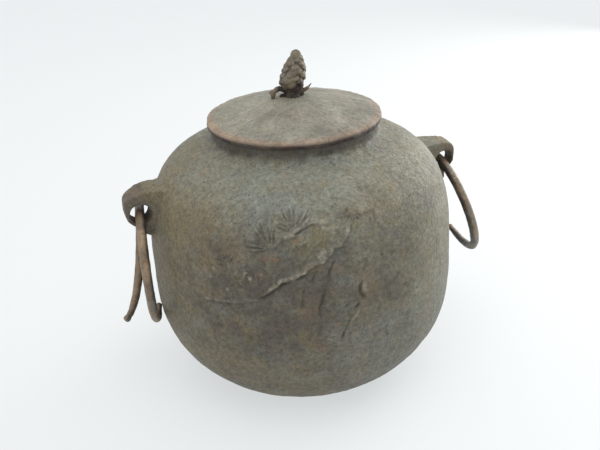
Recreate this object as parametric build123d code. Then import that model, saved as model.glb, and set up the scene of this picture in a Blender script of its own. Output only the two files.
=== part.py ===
"""Spoutless cast iron tea-ceremony kettle: a body with two cast lugs, a low conical lid with a
pine-cone knob, two loose open rings to carry it by, and sound plates on the inside of the base.

Millimetres, +Z up. The origin is on the floor under the middle of the base. The lugs are on the
X axis, their holes run along Y, and the decorated front faces -Y."""

from build123d import *
from math import cos, radians, sin
import os

# Body. Each outline point is a radius and a height; the wall is measured square to the outside.
BODY_OUTLINE = [(57.0, 0.0), (82.0, 7.5), (98.5, 22.0), (111.2, 41.0), (118.0, 62.0), (120.0, 100.0),
                (119.6, 127.0), (116.6, 149.0), (108.4, 170.0), (92.8, 185.6), (75.5, 193.0)]
WALL = 3.4
NECK_RADIUS = 64.4
NECK_LOW = 201.5
NECK_TOP = 209.2
MOUTH_RADIUS = 57.2
INNER_FLOOR = 4.6
INNER_FLOOR_RADIUS = 58.0

# Lugs, given for the one on +X. The ring's hole runs along Y.
HOLE_X = 126.9
HOLE_Z = 155.0
HOLE_RADIUS = 7.4
HOLE_MOUTH_CHAMFER = 1.6
LUG_ROOT_X = 106.0
LUG_TIP_X = 141.5
LUG_TOP_Z = 171.0
LUG_LOW_Z = 141.2
LUG_ROOT_Z = 133.5
LUG_ROOT_WIDTH = 25.0
LUG_HOLE_WIDTH = 15.0
LUG_TIP_WIDTH = 9.0

# Lid: a low cone on a flat seat, with a locating ring inside the mouth.
LID_RADIUS = 66.2
LID_EDGE = 3.9
LID_RISE = 14.6
LID_CURVE = 1.25
LID_WALL = 3.6
LID_TOP_FLAT = 7.5
LOCATOR_OUTER = 56.5
LOCATOR_WIDTH = 3.2
LOCATOR_DEPTH = 6.0

# Knob: a pine cone on a foot, with a twig to each side and a tang riveted under the lid.
KNOB_HEIGHT = 34.5
FOOT_RADIUS = 6.2
FOOT_WAIST = 4.2
CONE_OUTLINE = [(5.0, 6.2), (9.6, 8.6), (10.8, 14.5), (10.5, 19.0), (8.9, 25.0), (5.4, 30.8), (2.6, 33.6)]
TANG_RADIUS = 3.0
TANG_HOLE_RADIUS = 3.1
WASHER_RADIUS = 8.5
WASHER_THICKNESS = 1.4
RIVET_RADIUS = 4.8
RIVET_HEIGHT = 1.6
TWIG_RADIUS = 1.8
TWIG_TURN = -17.3

# Rings: open, and thinner towards their two ends, which are pulled apart sideways.
RING_RADIUS = 44.6
RING_HALF_ANGLE = 193.0
RING_WIRE = 3.6
RING_WIRE_END = 2.1
RING_SECTIONS = 19

# How far each ring is bent out of its plane along its length: the plain, squared and cubed parts.
RING_BEND = {"ring_left": (9.5, -8.1, 3.1), "ring_right": (18.0, -4.3, -13.0)}

# How each ring hangs: the lug's side, the height of its middle line in the hole, the angle along the
# ring that is in the hole, and the ring's swing about Y, turn about Z and lean about X.
RING_REST = {
    "ring_left": {"side": -1, "height": 152.6, "contact": 7.8, "swing": -0.9, "turn": -11.4, "lean": 6.3},
    "ring_right": {"side": 1, "height": 153.0, "contact": -5.3, "swing": -14.6, "turn": -9.0, "lean": 11.0},
}

# Sound plates: thin iron plates fixed flat to the inside of the base.
PLATE_LENGTH = 26.0
PLATE_WIDTH = 17.0
PLATE_THICKNESS = 1.5
PLATE_CIRCLE = 27.0
PLATE_COUNT = 3
PLATE_CORNER = 3.0

LID_SEAT = NECK_TOP
LID_EDGE_TOP = LID_SEAT + LID_EDGE
LID_TOP = LID_EDGE_TOP + LID_RISE
LID_UNDER = LID_TOP - LID_WALL


def turned(edges):
    """The solid that a closed outline in the XZ plane makes when it is turned about Z."""
    face = make_face(edges)
    return revolve(Plane.XZ * face, axis=Axis.Z)


def inward(points, depth):
    """The points of an outline moved square to it, towards the axis side, by a depth."""
    moved = []
    for index, (radius, height) in enumerate(points):
        before = points[max(index - 1, 0)]
        after = points[min(index + 1, len(points) - 1)]
        run = Vector(after[0] - before[0], after[1] - before[1]).normalized()
        moved.append((radius - depth * run.Y, height + depth * run.X))
    return moved


def body_outside():
    """The body as if it were solid, with its neck."""
    skin = Spline(*BODY_OUTLINE)
    sweep_up = Bezier(BODY_OUTLINE[-1], (NECK_RADIUS + 3.6, NECK_LOW - 5.6), (NECK_RADIUS, NECK_LOW - 4.0),
                      (NECK_RADIUS, NECK_LOW))
    rest = Polyline((NECK_RADIUS, NECK_LOW), (NECK_RADIUS, NECK_TOP), (0, NECK_TOP), (0, 0), BODY_OUTLINE[0])
    return turned([skin, sweep_up, rest])


def body_hollow():
    """The space inside the body, up through the mouth."""
    wall = [(INNER_FLOOR_RADIUS, INNER_FLOOR)] + inward(BODY_OUTLINE, WALL)[1:]
    sweep_up = Bezier(wall[-1], (MOUTH_RADIUS + 5.0, wall[-1][1] + 3.6), (MOUTH_RADIUS, NECK_LOW - 5.0),
                      (MOUTH_RADIUS, NECK_LOW))
    rest = Polyline((MOUTH_RADIUS, NECK_LOW), (MOUTH_RADIUS, NECK_TOP + 1), (0, NECK_TOP + 1),
                    (0, INNER_FLOOR), wall[0])
    return turned([Spline(*wall), sweep_up, rest])


def lug():
    """The lug on +X: its side view cut to a plan that narrows to a rounded tip."""
    side = make_face([
        Line((LUG_ROOT_X, LUG_TOP_Z), (HOLE_X + 2, LUG_TOP_Z)),
        ThreePointArc((HOLE_X + 2, LUG_TOP_Z), (LUG_TIP_X, HOLE_Z + 2), (HOLE_X + 3, LUG_LOW_Z)),
        Polyline((HOLE_X + 3, LUG_LOW_Z), (LUG_ROOT_X + 8, LUG_ROOT_Z), (LUG_ROOT_X, LUG_ROOT_Z),
                 (LUG_ROOT_X, LUG_TOP_Z)),
    ])
    block = extrude(Plane.XZ * side, amount=LUG_ROOT_WIDTH, both=True)
    plan = Polyline(
        (LUG_ROOT_X, LUG_ROOT_WIDTH / 2), (HOLE_X - 8, LUG_ROOT_WIDTH / 2 - 2), (HOLE_X, LUG_HOLE_WIDTH / 2),
        (LUG_TIP_X, LUG_TIP_WIDTH / 2), (LUG_TIP_X, -LUG_TIP_WIDTH / 2), (HOLE_X, -LUG_HOLE_WIDTH / 2),
        (HOLE_X - 8, -LUG_ROOT_WIDTH / 2 + 2), (LUG_ROOT_X, -LUG_ROOT_WIDTH / 2), close=True,
    )
    column = extrude(Pos(0, 0, LUG_ROOT_Z - 1) * make_face(plan), amount=LUG_TOP_Z - LUG_ROOT_Z + 2)
    return block & column


def lug_hole():
    """The hole for the ring, opened out at both faces."""
    reach = LUG_HOLE_WIDTH / 2
    through = Cylinder(HOLE_RADIUS, 3 * LUG_ROOT_WIDTH)
    mouth = Cone(HOLE_RADIUS, HOLE_RADIUS + 3 * HOLE_MOUTH_CHAMFER, 3 * HOLE_MOUTH_CHAMFER)
    far = Pos(0, 0, reach + HOLE_MOUTH_CHAMFER / 2) * mouth
    cutter = through + far + Rot(180, 0, 0) * far
    return Pos(HOLE_X, 0, HOLE_Z) * Rot(90, 0, 0) * cutter


def kettle_body():
    one_lug = lug()
    solid = body_outside() + one_lug + Rot(0, 0, 180) * one_lug
    hole = lug_hole()
    return solid - body_hollow() - hole - Rot(0, 0, 180) * hole


def lid_height(radius):
    """How high the lid's upper face is at a radius."""
    return LID_EDGE_TOP + LID_RISE * (1 - (radius / LID_RADIUS) ** LID_CURVE)


def lid():
    radii = [LID_RADIUS - 0.8, 50.0, 30.0, LID_TOP_FLAT]
    upper = [(radius, lid_height(radius)) for radius in radii]
    inner = LOCATOR_OUTER - LOCATOR_WIDTH
    under_radii = [inner, 38.0, 22.0, WASHER_RADIUS + 1]
    under = [(radius, min(lid_height(radius) - LID_WALL, LID_UNDER)) for radius in under_radii]
    edges = [
        Spline(*upper),
        Polyline(upper[-1], (TANG_HOLE_RADIUS, upper[-1][1]), (TANG_HOLE_RADIUS, under[-1][1]), under[-1]),
        Spline(*under),
        Polyline(under[0], (inner, LID_SEAT - LOCATOR_DEPTH), (LOCATOR_OUTER, LID_SEAT - LOCATOR_DEPTH),
                 (LOCATOR_OUTER, LID_SEAT), (LID_RADIUS - 0.6, LID_SEAT), (LID_RADIUS, LID_SEAT + 0.6),
                 (LID_RADIUS, LID_EDGE_TOP - 0.8), upper[0]),
    ]
    return turned(edges)


def twig(points):
    """A bent twig through three points, round in section."""
    path = ThreePointArc(*points)
    start = path @ 0
    section = Plane(start, z_dir=path % 0) * Circle(TWIG_RADIUS)
    return sweep(section, path=path)


def lid_knob():
    """Pine cone, foot, tang and both twigs, cast in one."""
    seat = lid_height(LID_TOP_FLAT)
    below = lid_height(WASHER_RADIUS + 1) - LID_WALL - WASHER_THICKNESS
    outline = [(radius, seat + height) for radius, height in CONE_OUTLINE]
    cone = turned([
        Spline(*outline, (0, seat + KNOB_HEIGHT)),
        Polyline((0, seat + KNOB_HEIGHT), (0, below - RIVET_HEIGHT), (RIVET_RADIUS - 1, below - RIVET_HEIGHT),
                 (RIVET_RADIUS, below), (TANG_RADIUS, below), (TANG_RADIUS, seat), (FOOT_RADIUS, seat),
                 (FOOT_WAIST, seat + 3.5), outline[0]),
    ])
    long_twig = twig([(-1.0, 0, seat + 4.2), (-12.0, 0, seat + 5.2), (-18.5, 0, seat + 0.6)])
    short_twig = twig([(1.0, 0, seat + 3.4), (8.0, 0, seat + 4.2), (14.0, 0, seat + 7.2)])
    return cone + Rot(0, 0, TWIG_TURN) * (long_twig + short_twig)


def knob_washer():
    top = lid_height(WASHER_RADIUS + 1) - LID_WALL
    disc = Cylinder(WASHER_RADIUS, WASHER_THICKNESS, align=(Align.CENTER, Align.CENTER, Align.MAX))
    bore = Cylinder(TANG_HOLE_RADIUS, 3 * WASHER_THICKNESS)
    return Pos(0, 0, top) * (disc - bore)


def ring_point(angle, bend):
    """A point on the ring's middle line before it is hung, by its angle in degrees from the top."""
    turn = radians(angle)
    share = angle / RING_HALF_ANGLE
    aside = bend[0] * share + bend[1] * share ** 2 + bend[2] * share ** 3
    return Vector(aside, -RING_RADIUS * sin(turn), -RING_RADIUS * (1 - cos(turn)))


def ring_wire(angle):
    """The ring's thickness, as a radius, at an angle."""
    return RING_WIRE_END + (RING_WIRE - RING_WIRE_END) * (1 - abs(angle / RING_HALF_ANGLE) ** 6)


def open_ring(bend):
    """The ring as bent, with the middle of its top at the origin."""
    step = 2 * RING_HALF_ANGLE / (RING_SECTIONS - 1)
    sections = []
    for index in range(RING_SECTIONS):
        angle = -RING_HALF_ANGLE + index * step
        along = ring_point(angle + 0.5, bend) - ring_point(angle - 0.5, bend)
        across = Vector(1, 0, 0) - along * (along.X / along.dot(along))
        spot = Plane(ring_point(angle, bend), x_dir=across, z_dir=along)
        sections.append(spot * Circle(ring_wire(angle)))
    return loft(sections)


def hung_ring(bend, side, height, contact, swing, turn, lean):
    """The ring hung in its lug's hole."""
    level = Rot(-contact, 0, 0) * Pos(-ring_point(contact, bend))
    placed = Rot(0, swing, 0) * Rot(lean, 0, 0) * Rot(0, 0, turn) * level
    return Pos(side * HOLE_X, 0, height) * placed * open_ring(bend)


def sound_plate(index):
    """One sound plate, lying on the inner floor square to the middle of the base."""
    blank = RectangleRounded(PLATE_WIDTH, PLATE_LENGTH, PLATE_CORNER)
    plate = extrude(Pos(PLATE_CIRCLE, 0, INNER_FLOOR) * blank, amount=PLATE_THICKNESS)
    return Rot(0, 0, 90 + index * 360 / PLATE_COUNT) * plate


def main():
    os.makedirs("parts", exist_ok=True)
    pieces = {"kettle_body": kettle_body(), "lid": lid(), "lid_knob": lid_knob(), "knob_washer": knob_washer()}
    for name, rest in RING_REST.items():
        pieces[name] = hung_ring(RING_BEND[name], **rest)
    for index in range(PLATE_COUNT):
        pieces[f"sound_plate_{index + 1}"] = sound_plate(index)
    for name, piece in pieces.items():
        piece.label = name
        export_step(piece, f"parts/{name}.step")
        print(name, "solids", len(piece.solids()), "volume", round(piece.volume), "valid", piece.is_valid)


main()
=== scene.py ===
"""Looks of a cast iron tea-ceremony kettle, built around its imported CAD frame.

The shapes are worked out in millimetres in the CAD frame, with +Z up and the decorated front near -Y,
and every mesh is scaled to metres when it is made. Five pieces are made here: the body casting with
its pine-tree relief, the lid, the pine-cone knob and the two forged rings. The washer under the lid
and the sound plates inside the base stay as CAD and only get a better material."""

import math

import bpy
import numpy as np
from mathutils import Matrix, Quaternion, Vector


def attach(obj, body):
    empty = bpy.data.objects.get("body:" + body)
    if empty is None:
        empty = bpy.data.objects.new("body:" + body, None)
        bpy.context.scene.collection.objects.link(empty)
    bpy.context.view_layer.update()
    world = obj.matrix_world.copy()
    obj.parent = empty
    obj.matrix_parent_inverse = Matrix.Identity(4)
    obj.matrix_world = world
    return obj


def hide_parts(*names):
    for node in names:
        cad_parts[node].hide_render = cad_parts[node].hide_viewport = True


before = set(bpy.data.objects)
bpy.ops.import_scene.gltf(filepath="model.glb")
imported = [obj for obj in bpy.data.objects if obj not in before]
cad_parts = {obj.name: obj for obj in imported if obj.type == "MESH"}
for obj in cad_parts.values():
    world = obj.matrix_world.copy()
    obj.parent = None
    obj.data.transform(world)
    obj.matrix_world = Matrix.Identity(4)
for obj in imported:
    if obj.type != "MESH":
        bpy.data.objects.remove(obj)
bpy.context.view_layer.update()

MM = 0.001
FRONT_TURN = -17.3          # degrees about Z from -Y to the middle of the decorated front
RIGHT = (0.955, -0.297)     # X and Y of the way to the right across that front

# Body, as in the CAD: radius and height of its outside, from the edge of the flat base to the neck.
BODY_OUTLINE = [(57.0, 0.0), (82.0, 7.5), (98.5, 22.0), (111.2, 41.0), (118.0, 62.0), (120.0, 100.0),
                (119.6, 127.0), (116.6, 149.0), (108.4, 170.0), (92.8, 185.6), (75.5, 193.0)]
WALL = 3.4
NECK_RADIUS = 64.4
NECK_LOW = 201.5
NECK_TOP = 209.2
MOUTH_RADIUS = 57.2
INNER_FLOOR = 4.6
INNER_FLOOR_RADIUS = 58.0
INNER_GAP = 3.4

# Lugs: the hole for the ring, and by side how each lug's end is shaped, as lug_field says.
HOLE_X = 126.9
HOLE_Z = 155.0
HOLE_RADIUS = 7.4
LUG_SHAPES = {
    1: {"inset": 2.0, "size": 9.9, "corner": 7.0, "flare": 1.7, "rise": 1.2, "wide": 0},
    -1: {"inset": 0.0, "size": 12.1, "corner": 5.5, "flare": 1.5, "rise": 2.8, "wide": 1},
}
LUG_TOP = 170.2
LUG_BOX = ((97, -17.4, 130), (144, 17.4, 177))
LUG_STEP = 0.85

# Lid and knob.
LID_RADIUS = 66.2
LID_EDGE_TOP = 213.1
LID_RISE = 14.6
LID_CURVE = 1.25
LID_WALL = 3.6
LID_TOP_FLAT = 7.5
LOCATOR_OUTER = 56.5
LOCATOR_INNER = 53.3
LOCATOR_LOW = 203.2
TANG_HOLE_RADIUS = 3.1

# Rings: size, the angle of one side of the round wire, how far each ring is bent out of its plane
# along its length, and how each one hangs.
RING_RADIUS = 44.6
RING_HALF_ANGLE = 193.0
RING_SIDE_ANGLE = 15
RING_BEND = {"ring_left": (9.5, -8.1, 3.1), "ring_right": (18.0, -4.3, -13.0)}
RING_REST = {
    "ring_left": {"side": -1, "height": 152.6, "contact": 7.8, "swing": -1.2, "turn": -11.4, "lean": 6.3,
                  "inset": 0.0},
    "ring_right": {"side": 1, "height": 153.0, "contact": -5.3, "swing": -15.4, "turn": -9.0, "lean": 11.0,
                   "inset": 1.2},
}


# ---- numbers

def lumps(points, size, seed):
    """Smooth random values from -1 to 1 at the points, with lumps about size across."""
    table = np.random.default_rng(seed).uniform(-1, 1, 4096)
    spot = np.asarray(points, float) / size + 500.0
    cell = np.floor(spot).astype(np.int64)
    part = spot - cell
    part = part * part * (3 - 2 * part)
    total = np.zeros(len(spot))
    for corner in range(8):
        offset = np.array([corner & 1, (corner >> 1) & 1, corner >> 2])
        near = cell + offset
        key = (near[:, 0] * 73856093) ^ (near[:, 1] * 19349663) ^ (near[:, 2] * 83492791)
        weight = np.prod(np.where(offset == 1, part, 1 - part), axis=1)
        total += weight * table[key & 4095]
    return total


def rough(points, size, octaves, seed):
    """Lumps of several sizes added up, each half as large and half as strong as the one before."""
    total = np.zeros(len(points))
    for octave in range(octaves):
        total += lumps(points, size / 2 ** octave, seed + octave) / 2 ** octave
    return total


def ramp(low, high, value):
    """Rises smoothly from 0 where the value is low to 1 where it is high."""
    share = np.clip((value - low) / (high - low), 0, 1)
    return share * share * (3 - 2 * share)


def unit(vectors):
    """The vectors, each made one long."""
    return vectors / np.linalg.norm(vectors, axis=-1, keepdims=True)


def away_from(points, spot):
    """How far each point is from a spot."""
    return np.linalg.norm(points - spot, axis=1)


def curve_through(points, step):
    """A smooth line through the points, with a point about every step along it."""
    knots = np.array(points, float)
    length = np.concatenate([[0], np.cumsum(np.linalg.norm(np.diff(knots, axis=0), axis=1))])
    gap = np.diff(length)
    count = len(knots)
    system = np.eye(count)
    right = np.zeros_like(knots)
    for i in range(1, count - 1):
        system[i, i - 1:i + 2] = gap[i - 1], 2 * (gap[i - 1] + gap[i]), gap[i]
        right[i] = 6 * ((knots[i + 1] - knots[i]) / gap[i] - (knots[i] - knots[i - 1]) / gap[i - 1])
    bend = np.linalg.solve(system, right)
    along = np.linspace(0, length[-1], max(2, int(round(length[-1] / step)) + 1))
    k = np.clip(np.searchsorted(length, along, side="right") - 1, 0, count - 2)
    before = ((length[k + 1] - along) / gap[k])[:, None]
    after = 1 - before
    square = (gap[k] ** 2)[:, None] / 6
    return (before * knots[k] + after * knots[k + 1]
            + ((before ** 3 - before) * bend[k] + (after ** 3 - after) * bend[k + 1]) * square)


def bezier(points, count):
    """Points along a cubic Bezier curve, without its first one."""
    a, b, c, d = (np.array(p, float) for p in points)
    t = np.linspace(0, 1, count + 1)[1:, None]
    return (1 - t) ** 3 * a + 3 * (1 - t) ** 2 * t * b + 3 * (1 - t) * t * t * c + t ** 3 * d


def turn_about(axis, degrees):
    """The matrix that turns about an axis, 0 for X, 1 for Y and 2 for Z."""
    angle = math.radians(degrees)
    one, other = (axis + 1) % 3, (axis + 2) % 3
    matrix = np.eye(3)
    matrix[one, one] = matrix[other, other] = math.cos(angle)
    matrix[other, one] = math.sin(angle)
    matrix[one, other] = -math.sin(angle)
    return matrix


# ---- meshes

def store(mesh, title, values):
    """Keeps one value for each vertex, for the material."""
    layer = mesh.attributes.new(title, "FLOAT", "POINT")
    layer.data.foreach_set("value", np.asarray(values, np.float32))


def make_piece(name, points, faces, attributes=None):
    """A smooth-shaded object from points in millimetres."""
    mesh = bpy.data.meshes.new(name)
    mesh.from_pydata((np.asarray(points) * MM).tolist(), [], faces)
    mesh.update()
    mesh.shade_smooth()
    for title, values in (attributes or {}).items():
        store(mesh, title, values)
    piece = bpy.data.objects.new(name, mesh)
    bpy.context.scene.collection.objects.link(piece)
    return piece


def dress(piece, look):
    piece.data.materials.clear()
    piece.data.materials.append(look)


def place(piece, body, node, look):
    """Gives a piece its body and its material, and hides the CAD node it stands for."""
    dress(piece, look)
    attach(piece, body)
    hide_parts(node)


def grid_faces(rows, columns, start=0):
    """Faces that join each row of a turned grid to the next, all the way round."""
    i, j = np.meshgrid(np.arange(rows - 1), np.arange(columns), indexing="ij")
    ahead = (j + 1) % columns
    quads = np.stack([i * columns + j, i * columns + ahead, (i + 1) * columns + ahead,
                      (i + 1) * columns + j], -1)
    return (quads.reshape(-1, 4) + start).tolist()


def skin(field, low, high, step):
    """A closed mesh along the surface where field, which is negative inside, is zero."""
    axes = [np.arange(a, b + step, step) for a, b in zip(low, high)]
    grid = np.stack(np.meshgrid(*axes, indexing="ij"), -1)
    value = field(grid.reshape(-1, 3)).reshape(grid.shape[:3])
    cells = np.array(value.shape) - 1
    total = np.zeros((*cells, 3))
    count = np.zeros(cells)
    crossings = []
    for axis in range(3):
        first = np.take(value, range(cells[axis]), axis)
        second = np.take(value, range(1, cells[axis] + 1), axis)
        start = np.take(grid, range(cells[axis]), axis)
        crosses = (first < 0) != (second < 0)
        share = np.where(crosses, first / np.where(crosses, first - second, 1), 0)
        spot = start.copy()
        spot[..., axis] += share * step
        one, other = (axis + 1) % 3, (axis + 2) % 3
        for shift_one, shift_other in ((0, 0), (0, 1), (1, 0), (1, 1)):
            window = [slice(None)] * 3
            window[one] = slice(shift_one, shift_one + cells[one])
            window[other] = slice(shift_other, shift_other + cells[other])
            window = tuple(window)
            total += spot[window] * crosses[window][..., None]
            count += crosses[window]
        crossings.append((crosses, first < 0))
    used = count > 0
    index = np.full(cells, -1)
    index[used] = np.arange(used.sum())
    points = total[used] / count[used][:, None]
    faces = []
    for axis, (crosses, low_inside) in enumerate(crossings):
        one, other = (axis + 1) % 3, (axis + 2) % 3
        spots = np.argwhere(crosses)
        spots = spots[(spots[:, one] > 0) & (spots[:, one] < cells[one])
                      & (spots[:, other] > 0) & (spots[:, other] < cells[other])]
        corners = []
        for back_one, back_other in ((1, 1), (0, 1), (0, 0), (1, 0)):
            cell = spots.copy()
            cell[:, one] -= back_one
            cell[:, other] -= back_other
            corners.append(index[tuple(cell.T)])
        quads = np.stack(corners, -1)
        outward = low_inside[tuple(spots.T)]
        quads[~outward] = quads[~outward][:, ::-1]
        faces += quads.tolist()
    return points, faces


def smooth_min(a, b, size):
    blend = np.clip(0.5 + 0.5 * (b - a) / size, 0, 1)
    return b + (a - b) * blend - size * blend * (1 - blend)


def smooth_max(a, b, size):
    return -smooth_min(-a, -b, size)


# ---- body

def body_rows():
    """The outside of the body from near the middle of the base up to the lip of the mouth."""
    fine = curve_through(BODY_OUTLINE, 0.25)
    rows = [(radius, 0.0) for radius in np.arange(4.0, 56.0, 4.0)]
    last = None
    for radius, height in fine:
        gap = 0.8 if 94 < height < 180 else 1.4 if 72 < height < 186 else 2.8
        if last is None or math.hypot(radius - last[0], height - last[1]) >= gap:
            rows.append((radius, height))
            last = (radius, height)
    foot = BODY_OUTLINE[-1]
    while rows[-1][1] > foot[1] - 0.6:
        rows.pop()
    rows.append(foot)
    rows += bezier([foot, (NECK_RADIUS + 3.6, NECK_LOW - 5.6), (NECK_RADIUS, NECK_LOW - 4.0),
                    (NECK_RADIUS, NECK_LOW)], 11).tolist()
    rows += [(NECK_RADIUS, height) for height in np.linspace(NECK_LOW, NECK_TOP - 0.5, 8)[1:]]
    rows += [(NECK_RADIUS - 0.15, NECK_TOP - 0.15), (NECK_RADIUS - 0.6, NECK_TOP)]
    return np.array(rows)


def inside_rows():
    """The inside of the body, from the lip of the mouth down to near the middle of the floor."""
    outline = np.array(BODY_OUTLINE)
    run = unit(np.gradient(outline, axis=0))
    wall = outline + WALL * np.stack([-run[:, 1], run[:, 0]], -1)
    wall[0] = INNER_FLOOR_RADIUS, INNER_FLOOR
    top = wall[-1]
    throat = bezier([top, (MOUTH_RADIUS + 5.0, top[1] + 3.6), (MOUTH_RADIUS, NECK_LOW - 5.0),
                     (MOUTH_RADIUS, NECK_LOW)], 6)
    rows = [(MOUTH_RADIUS + 0.6, NECK_TOP), (MOUTH_RADIUS + 0.15, NECK_TOP - 0.15),
            (MOUTH_RADIUS, NECK_TOP - 0.6)]
    rows += throat[::-1].tolist()
    rows += curve_through(wall[::-1], 5.0).tolist()
    rows += [(radius, INNER_FLOOR) for radius in np.arange(50.0, 5.0, -8.0)]
    return np.array(rows)


def body_columns():
    """Angles from -Y towards +X, in degrees, closest together across the relief."""
    angles = [-180.0]
    while angles[-1] < 180:
        here = angles[-1]
        if -56 < here < 20:
            gap = 0.33
        elif -70 < here < 36:
            gap = 0.8
        elif 76 < abs(here) < 104:
            gap = 1.3
        else:
            gap = 2.3
        angles.append(here + gap)
    angles = np.array(angles)
    return -180 + (angles[:-1] + 180) * 360 / (angles[-1] + 180)


def turned(rows, angles):
    """The points of rows of (radius, height) turned to each angle about Z."""
    turn = np.radians(angles)[None, :]
    radius = rows[:, 0][:, None]
    height = np.broadcast_to(rows[:, 1][:, None], (len(rows), len(angles)))
    return np.stack([radius * np.sin(turn), -radius * np.cos(turn), height], -1)


def square_to(rows, angles):
    """The outward direction at each point that turned() makes."""
    run = unit(np.gradient(rows, axis=0))
    out = np.stack([run[:, 1], -run[:, 0]], -1)
    return turned(out, angles)


OUTLINE = curve_through(BODY_OUTLINE, 0.5)


def on_front(spots):
    """Points on the outside of the body, from degrees right of the front's middle and heights."""
    spots = np.array(spots, float)
    turn = np.radians(spots[:, 0] + FRONT_TURN)
    radius = np.interp(spots[:, 1], OUTLINE[:, 1], OUTLINE[:, 0])
    return np.stack([radius * np.sin(turn), -radius * np.cos(turn), spots[:, 1]], -1)


# The pine tree in relief. A stroke is a line of (degrees right of the front's middle, height),
# how far it stands out, its half width at its two ends, and the depth of the groove under it.
STROKES = [
    ([(-37, 110.5), (-28, 112.5), (-20, 115), (-14, 119.5)], 1.6, 1.2, 1.3, 0.5),
    ([(-16, 118), (-10, 127), (-6, 133), (0, 138), (3, 143), (7, 146)], 1.3, 0.9, 1.9, 1.5),
    ([(5, 145), (8, 149), (11, 153), (15, 157)], 1.5, 3.2, 1.6, 0.8),
    ([(-28, 116), (-21, 118.5), (-15, 121.5)], 0.9, 0.8, 1.0, 0.2),
    ([(-8, 130), (-3, 137), (1, 142)], 0.8, 0.8, 1.6, 0.0),
    ([(-3, 165), (0, 168), (3, 170.5), (6, 171), (11, 170)], 1.6, 1.2, 1.4, 1.3),
    ([(-10, 154), (-8, 159), (-5, 162.5), (0, 164)], 1.2, 1.1, 0.8, 0.8),
    ([(-4, 154), (-1, 157), (3, 161)], 0.9, 1.3, 0.8, 0.5),
    ([(0, 147), (2, 150), (4, 156), (8, 160)], 0.8, 1.0, 0.8, 0.3),
    ([(14, 156), (17, 163), (19, 169), (23, 172), (27, 173)], 1.1, 1.2, 0.9, 0.7),
    ([(27, 173), (29, 170), (29, 165), (31, 158), (32, 151)], 1.0, 1.0, 0.8, 0.8),
    ([(19, 140), (21, 142.5), (23, 142), (23.5, 136)], 1.2, 0.8, 1.2, 1.0),
    ([(23.5, 138), (22, 132), (21, 126), (21, 118), (22.5, 111)], 1.2, 1.5, 1.9, 1.5),
    ([(22.5, 112), (19, 110.5), (16, 108), (13, 104)], 0.9, 1.3, 0.7, 0.6),
    ([(20, 109), (18, 102), (16, 94), (14, 86), (13, 79)], 1.1, 1.4, 0.6, 1.3),
    ([(6, 100), (8, 99), (12, 99)], 0.5, 0.8, 0.6, 0.3),
]
# Grooves alone: a line, a depth and a half width.
GROOVES = [
    ([(12, 148), (10, 141), (9, 136), (8, 129), (6.4, 118), (5.2, 105), (6, 96)], 1.3, 0.9),
    ([(5, 142), (3.6, 134), (3, 129), (0.4, 124), (-0.6, 117), (-1, 109)], 1.2, 0.9),
    ([(13, 149), (17, 147), (20, 146.5)], 0.5, 0.6),
    ([(3, 129), (5, 127), (7, 129)], 0.6, 0.6),
    ([(7, 151), (9, 147), (11, 150)], 1.0, 0.8),
    ([(2, 104), (2, 96), (1, 88)], 0.4, 0.8),
]
# The trunk between its two grooves: a middle line, and its half width at each point.
TRUNK = [(9, 149, 5.5), (6.6, 140, 5.5), (5.6, 131, 5.3), (3.2, 119, 6.6), (2.4, 108, 6.0), (2.4, 97, 4.5)]
# Fans of needles: middle, first and last direction in degrees from the right, reach, and how many.
FANS = [
    ((-10, 155), 98, 196, 21.0, 13),
    ((-2, 165.5), 22, 152, 17.0, 14),
    ((20, 174), 195, 300, 9.0, 7),
    ((-27, 141), 60, 170, 10.0, 7),
]
# Places where the ground is covered with small leaves: middle, reach sideways and up, and height.
GROUND = [
    ((-24, 133), 30, 26, 1.5),
    ((-33, 152), 28, 28, 0.8),
    ((22, 166), 18, 20, 0.9),
    ((8, 162), 18, 14, 1.0),
    ((-4, 147), 18, 12, 0.8),
    ((3, 112), 14, 30, 0.5),
    ((30, 130), 26, 40, 0.4),
]
# Places with a tint of their own: middle, reach across and up, and strength.
DARKENED = [((2, 122), 20, 26, 0.45), ((-14, 132), 26, 20, 0.18)]
KNOT = [((10, 151), 11, 8, 1.0), ((5, 136), 9, 12, 0.8)]
RUSTY = [((1, 107), 5, 9, 0.75), ((22, 122), 5, 18, 0.65), ((-42, 150), 16, 12, 0.30),
         ((52, 95), 6, 34, 0.4), ((24, 176), 13, 9, 0.35)]
YELLOWED = [((3, 158), 18, 11, 0.5), ((-52, 150), 16, 30, 0.3)]
COOLED = [((-14, 172), 26, 14, 0.35), ((8, 150), 9, 8, 0.35)]


def to_line(points, line):
    """Distance, signed side and share along for each point's nearest place on a line on the front."""
    best = np.full(len(points), 1e9)
    side = np.zeros(len(points))
    share = np.zeros(len(points))
    for k in range(len(line) - 1):
        run = line[k + 1] - line[k]
        part = np.clip((points - line[k]) @ run / (run @ run), 0, 1)
        away = points - (line[k] + part[:, None] * run)
        distance = np.linalg.norm(away, axis=1)
        above = np.cross(unit(line[k] * (1, 1, 0)), unit(run))
        closer = distance < best
        best[closer] = distance[closer]
        side[closer] = (away @ above)[closer]
        share[closer] = ((k + part) / (len(line) - 1))[closer]
    return best, side, share


def line_on_front(points, spots, reach, step=1.5):
    """A line through spots on the front, and the numbers of the points within its reach."""
    line = curve_through(on_front(spots), step)
    near = (points > line.min(0) - reach) & (points < line.max(0) + reach)
    return line, np.flatnonzero(near.all(1))


def wandering(points, reach):
    """The points, each moved a little, so that a line drawn by them is uneven."""
    return points + reach * np.stack([lumps(points, 5, seed) for seed in (41, 42, 43)], -1)


def fade(share, first, last):
    """From 0 at both ends of a line to 1, over the first and the last share of it."""
    return ramp(0, first, share) * ramp(0, last, 1 - share)


def raise_to(values, chosen, level):
    values[chosen] = np.maximum(values[chosen], level)


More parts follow.
